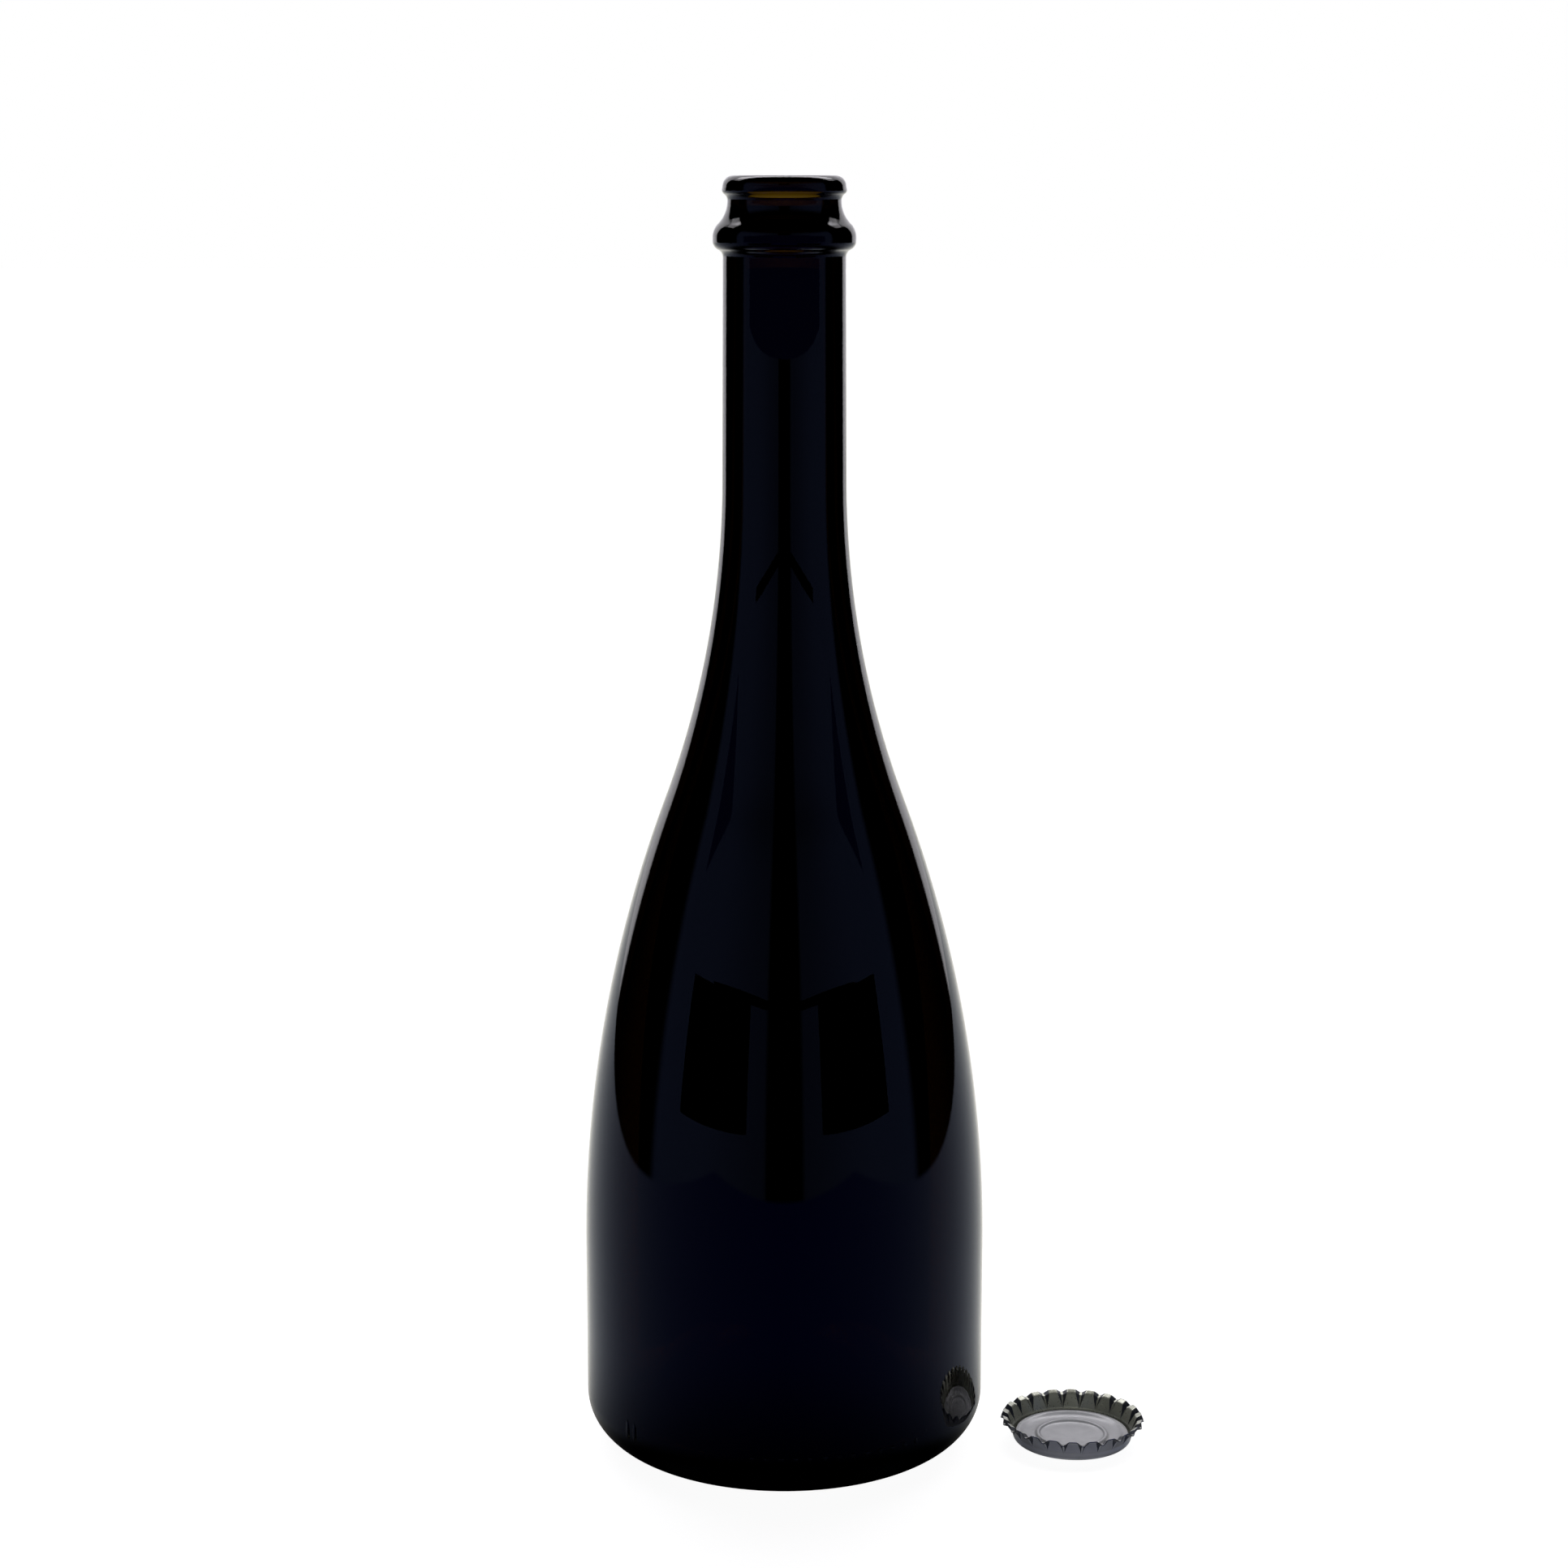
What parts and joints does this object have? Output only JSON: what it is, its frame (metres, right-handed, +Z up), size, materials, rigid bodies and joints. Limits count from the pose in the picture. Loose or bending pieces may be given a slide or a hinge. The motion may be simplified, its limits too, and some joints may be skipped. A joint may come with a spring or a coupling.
{
  "type": "glass bottle",
  "caption": "Dark glass bottle for sparkling drinks with long sloping shoulders, a crown finish over a wire-hood collar, and its fluted crown cap lying upside down beside it.",
  "frame": {"origin": "on the ground under the middle of the box that the bottle and the loose cap fill together; the bottle's axis stands at x = -19.98 mm, y = 0", "axes": "+Z up along the bottle's axis, +X from the bottle towards the cap, +Y away from the viewer"},
  "size_m": [0.1374, 0.0975, 0.3069],
  "materials": {
    "dark_glass": "smooth fire-polished glass, near black, amber-green where light gets through",
    "tinned_steel": "satin blue-grey tin plate outside, olive-grey lacquer inside",
    "white_compound": "soft moulded compound, pale grey-white, slight sheen"
  },
  "bodies": {
    "bottle": {"glass_bottle": "dark_glass"},
    "crown_cap": {"crown_cap_shell": "tinned_steel", "crown_cap_liner": "white_compound"}
  },
  "joints": [
    {"name": "cap_lift", "type": "slide", "parent": "bottle", "child": "crown_cap", "axis": [0, 0, 1], "range_m": [0, 0.32]}
  ]
}
